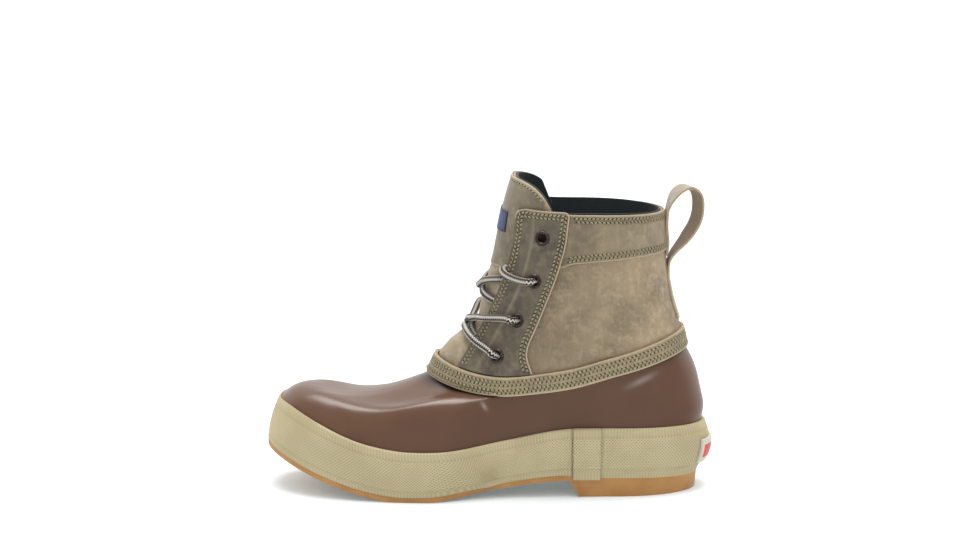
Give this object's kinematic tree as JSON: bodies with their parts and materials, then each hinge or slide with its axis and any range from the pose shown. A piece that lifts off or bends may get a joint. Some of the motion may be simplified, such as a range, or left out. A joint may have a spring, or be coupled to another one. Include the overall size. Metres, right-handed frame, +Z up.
{
  "type": "lace-up boot",
  "caption": "Left ankle boot with a moulded rubber lower, a foxing tape, a gum sole with a heel, a leather shaft, a curved tongue, a round lace and a pull loop at the back.",
  "frame": {"origin": "on the floor, under the middle of the boot's box", "axes": "+X from toe to heel, +Y to the inner side of the left foot, +Z up"},
  "size_m": [0.304, 0.1069, 0.214],
  "materials": {
    "brown_rubber": "glossy moulded rubber",
    "tan_rubber": "knurled matt rubber",
    "gum_rubber": "matt gum rubber",
    "patch_rubber": "smooth rubber",
    "olive_leather": "waxed nubuck",
    "lining": "woven lining",
    "eyelet_metal": "dark plated",
    "lace_cord": "round braid"
  },
  "bodies": {
    "root": {"rubber_lower": "brown_rubber", "foxing_tape": "tan_rubber", "foxing_lap": "tan_rubber", "outsole": "gum_rubber", "heel_patch": "patch_rubber", "shaft": "olive_leather", "joining_band": "olive_leather", "collar_band": "olive_leather", "eyestay_outer": "olive_leather", "eyestay_inner": "olive_leather", "tongue": "olive_leather", "pull_loop": "olive_leather", "insole": "lining", "eyelet_outer_1": "eyelet_metal", "eyelet_outer_2": "eyelet_metal", "eyelet_outer_3": "eyelet_metal", "eyelet_outer_4": "eyelet_metal", "eyelet_inner_1": "eyelet_metal", "eyelet_inner_2": "eyelet_metal", "eyelet_inner_3": "eyelet_metal", "eyelet_inner_4": "eyelet_metal", "lace_bar": "lace_cord", "lace_cross_low": "lace_cord", "lace_cross_high": "lace_cord", "lace_end_outer": "lace_cord", "lace_end_inner": "lace_cord"}
  },
  "joints": []
}
